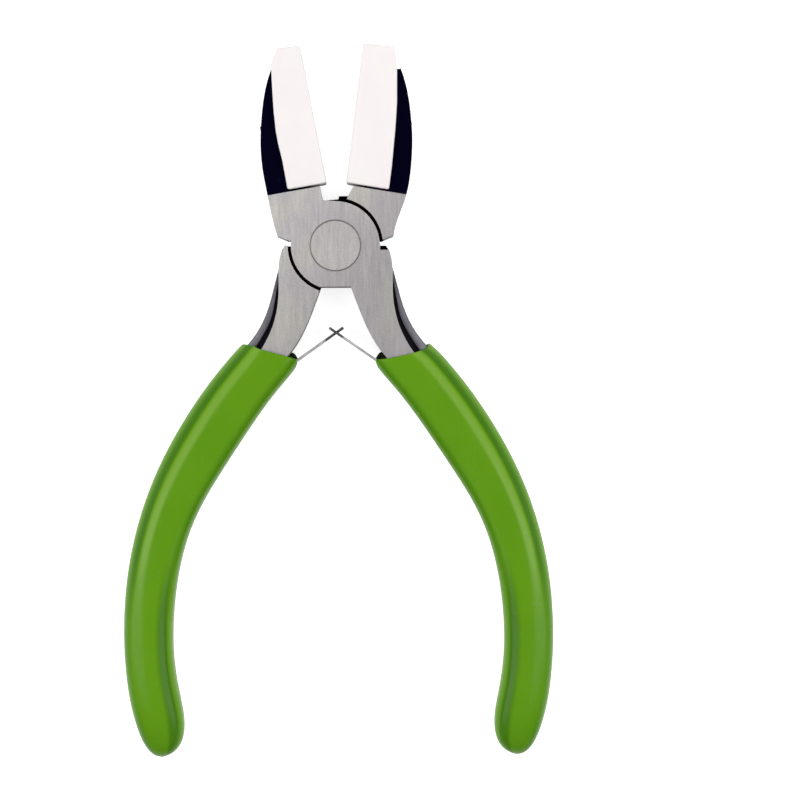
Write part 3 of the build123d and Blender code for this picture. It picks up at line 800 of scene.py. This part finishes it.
def make_grip(side, name):
    """A sleeve extruded ring by ring from a circle, closed to a round end and rolled in at the
    mouth to an inner wall."""
    ring = section_ring()
    count = len(ring)
    stop_all()
    bpy.ops.mesh.primitive_circle_add(vertices=count, radius=MM, fill_type="NOTHING")
    grip = bpy.context.object
    grip.name = name
    bpy.ops.object.mode_set(mode="EDIT")
    bpy.ops.mesh.select_mode(type="EDGE")
    rows = len(grip_stations) + 3
    for _ in range(rows):
        bpy.ops.mesh.select_all(action="SELECT")
        work = bmesh.from_edit_mesh(grip.data)
        low = min(vertex.co.z for vertex in work.verts)
        for edge in work.edges:
            edge.select_set(all(vertex.co.z < low + 0.1 * MM for vertex in edge.verts))
        bmesh.update_edit_mesh(grip.data)
        bpy.ops.mesh.extrude_edges_move(TRANSFORM_OT_translate={"value": (0, 0, -MM)})
    bpy.ops.mesh.select_all(action="DESELECT")
    work = bmesh.from_edit_mesh(grip.data)
    painted_light_tone = work.verts.layers.float.new("painted_light_tone")
    inside = work.verts.layers.float.new("inside")
    # ring 0 is the deep end of the inner wall, 1 its end at the lip, 2 the rim, 3 the mouth
    for vertex in work.verts:
        level = round(-vertex.co.z / MM)
        turn = math.atan2(vertex.co.y, vertex.co.x) % (2 * math.pi)
        number = round(turn / (2 * math.pi) * count) % count
        share, face, ridged, ridged_painted_light, plain, plain_painted_light = ring[number]
        if level > 3:
            (xo, yo), (xi, yi), half = grip_stations[level - 4]
            px, py = xi + (xo - xi) * share, yi + (yo - yi) * share
            fade = held_to_unit((py - ridge_fade[1]) / (ridge_fade[0] - ridge_fade[1]))
            fade = fade * fade * (3 - 2 * fade)
            pz = face * (plain + (ridged - plain) * fade) * grip_half_thickness * half
            vertex[painted_light_tone] = plain_painted_light + (ridged_painted_light - plain_painted_light) * fade
            vertex[painted_light_tone] -= end_darker * held_to_unit((end_start - py) / end_run)
        else:
            px, py = mouth_point(side, share, face, ridged)
            pz = face * ridged * grip_half_thickness
            vertex[painted_light_tone] = ridged_painted_light
            # marks the inner wall of the mouth, which the vinyl paints dark as shade
            vertex[inside] = 1.0 if level <= 1 else 0.0
        if level == 3:
            px, py = px + lip_roll[0], py + lip_roll[1]
        if level == 2:
            pz *= rim_height
        if level <= 1:
            px += (inner_set_in if share < 0.1 else 0.0) - (inner_set_in if share > 0.93 else 0.0)
            py += inner_rise
            half = inner_half_flat if share < rail_share else inner_half_rail
            pz = face * min(ridged * grip_half_thickness, half)
            if ridged < notch_height:
                pz *= inner_round
        if level == 0:
            px, py = px + inner_run[0], py + inner_run[1]
        vertex.co = (side * px * MM, py * MM, (steel_mid_z + pz) * MM)
    bmesh.update_edit_mesh(grip.data)
    # both ends closed: the dip's round end, and the bottom of the mouth, which the tang fills
    for edge in work.edges:
        edge.select_set(edge.is_boundary and edge.verts[0].co.y < end_start * MM)
    bmesh.update_edit_mesh(grip.data)
    bpy.ops.mesh.extrude_edges_move(TRANSFORM_OT_translate={"value": (0, 0, 0)})
    bpy.ops.mesh.merge(type="CENTER")
    work = bmesh.from_edit_mesh(grip.data)
    pole = max(work.verts, key=lambda vertex: len(vertex.link_edges))
    pole.co = (side * grip_pole[0] * MM, grip_pole[1] * MM, steel_mid_z * MM)
    for edge in work.edges:
        edge.select_set(edge.is_boundary)
    bmesh.update_edit_mesh(grip.data)
    bpy.ops.mesh.edge_face_add()
    bpy.ops.mesh.select_all(action="SELECT")
    bpy.ops.mesh.normals_make_consistent(inside=False)
    stop_all()
    apply_modifier(grip, "SUBSURF", levels=2, render_levels=2)
    pick(grip)
    bpy.ops.object.shade_smooth()
    return grip


skin_green = (0.102, 0.288, 0.0015, 1)
skin_green_light = (0.114, 0.304, 0.002, 1)
skin_green_cloud = (0.104, 0.290, 0.006, 1)
highlight_green = (0.185, 0.375, 0.034, 1)
flank_shade_green = (0.054, 0.185, 0.0005, 1)
mouth_shade_green = (0.010, 0.030, 0.001, 1)

vinyl, tree, shader = new_material("green_vinyl")
pooled = noise(tree, in_millimetres(tree, (0.09, 0.05, 0.09)), 1.0, 2.0, 0.5)
cloud = noise(tree, in_millimetres(tree, (0.35, 0.2, 0.35)), 1.0, 3.0, 0.55)
ripple = noise(tree, in_millimetres(tree, (0.5, 0.28, 0.5)), 1.0, 2.0, 0.4)
peel = noise(tree, in_millimetres(tree, (2.6, 2.6, 2.6)), 1.0, 2.0, 0.5)
color = blended(tree, ramp(tree, pooled, 0.35, 0.65), skin_green, skin_green_light)
color = blended(tree, ramp(tree, cloud, 0.5, 0.8, 0.0, 0.6), color, skin_green_cloud)
# painted highlight along the ridge and painted reflection at the rims, painted shade down the flanks, and
# the darkest painted shade inside the mouth by the spring
painted_light_tone = add_node(tree, "Attribute", attribute_name="painted_light_tone").outputs["Fac"]
color = blended(tree, ramp(tree, painted_light_tone, 0.0, 1.0), color, highlight_green)
color = blended(tree, ramp(tree, painted_light_tone, 0.0, -1.0), color, flank_shade_green)
inside = add_node(tree, "Attribute", attribute_name="inside").outputs["Fac"]
# painted shade inside the mouth
color = blended(tree, ramp(tree, inside, 0.1, 0.5), color, mouth_shade_green)
tree.links.new(color, shader.inputs["Base Color"])
tree.links.new(sums(tree, "MULTIPLY_ADD", cloud, 0.12, 0.2), shader.inputs["Roughness"])
shader.inputs["Specular IOR Level"].default_value = 0.16
skin = sums(tree, "MULTIPLY_ADD", peel, 0.12, ripple)
add_bump(tree, shader, skin, 0.2, 0.1)

sleeves = (
    (-1, "left_sleeve", "rear_half", "left_grip"),
    (1, "right_sleeve", "front_half", "right_grip"),
)
for side, name, body, cad_node in sleeves:
    grip = make_grip(side, name)
    paint(grip, vinyl)
    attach(grip, body)
    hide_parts(cad_node)

# ---------------------------------------------------------------------------------------------
# Studio
# The tool lies on a pale sheet lit from below, under large soft lamps at both sides and beyond
# the jaws, and the camera looks straight down on it.
# ---------------------------------------------------------------------------------------------
floor_z = -1.0
camera_place = (12.42, -30.34, 878.6)
camera_turn = math.radians(-0.45)
sheet_grey = (0.92, 0.92, 0.92, 1)
sheet_white = (0.95, 0.95, 0.945, 1)
wall_air = (0.32, 0.32, 0.325, 1)
ceiling_air = (0.54, 0.54, 0.545, 1)
side_lamp_size = (0.5, 1.5)
side_lamp_power = 7.2
lamp_target = (0.0, -0.03, 0.0)

stop_all()
bpy.ops.mesh.primitive_grid_add(
    x_subdivisions=40, y_subdivisions=40, size=3.0, location=(0, 0, floor_z * MM)
)
floor = bpy.context.object
floor.name = "pale_sheet"
bpy.ops.object.transform_apply(location=True, rotation=True, scale=True)
sheet, tree, shader = new_material("pale_sheet")
mottle = noise(tree, in_millimetres(tree, (0.01, 0.01, 0.01)), 1.0, 3.0, 0.5)
color = blended(tree, mottle, sheet_grey, sheet_white)
tree.links.new(color, shader.inputs["Base Color"])
shader.inputs["Roughness"].default_value = 0.9
shader.inputs["Specular IOR Level"].default_value = 0.1
tree.links.new(color, shader.inputs["Emission Color"])
# the sheet is lit from below, and throws less of that light on the tool than it shows
seen = add_node(tree, "LightPath").outputs["Is Camera Ray"]
tree.links.new(sums(tree, "MULTIPLY_ADD", seen, 0.65, 0.1), shader.inputs["Emission Strength"])
paint(floor, sheet)


def soft_lamp(name, place, size, power):
    """A large rectangular lamp that points at the tool."""
    stop_all()
    bpy.ops.object.light_add(type="AREA", location=place)
    lamp = bpy.context.object
    lamp.name = name
    lamp.data.shape = "RECTANGLE"
    lamp.data.size, lamp.data.size_y = size
    lamp.data.energy = power
    aim = Vector(lamp_target) - Vector(place)
    lamp.rotation_euler = aim.to_track_quat("-Z", "Y").to_euler()


soft_lamp("left_softbox", (-0.95, -0.02, 0.90), side_lamp_size, side_lamp_power)
soft_lamp("right_softbox", (0.95, -0.02, 0.90), side_lamp_size, side_lamp_power)
soft_lamp("back_softbox", (0.0, 1.0, 0.9), (1.2, 0.5), 3.0)

world = bpy.data.worlds.new("studio_air")
bpy.context.scene.world = world
world.use_nodes = True
# dim walls under a brighter ceiling, which the flat steel faces mirror
tree = world.node_tree
height = add_node(tree, "SeparateXYZ", {0: add_node(tree, "TexCoord").outputs["Generated"]}).outputs[2]
air = blended(tree, ramp(tree, height, 0.35, 0.95), wall_air, ceiling_air)
tree.links.new(air, tree.nodes["Background"].inputs["Color"])

bpy.ops.object.camera_add(location=[each * MM for each in camera_place], rotation=(0, 0, camera_turn))
camera = bpy.context.object
camera.name = "camera"
camera.data.lens = 200
camera.data.sensor_width = 36
camera.data.clip_start, camera.data.clip_end = 0.05, 10
bpy.context.scene.camera = camera
# the sheet shows as plain white, and colours keep their strength
bpy.context.scene.view_settings.view_transform = "Standard"
stop_all()
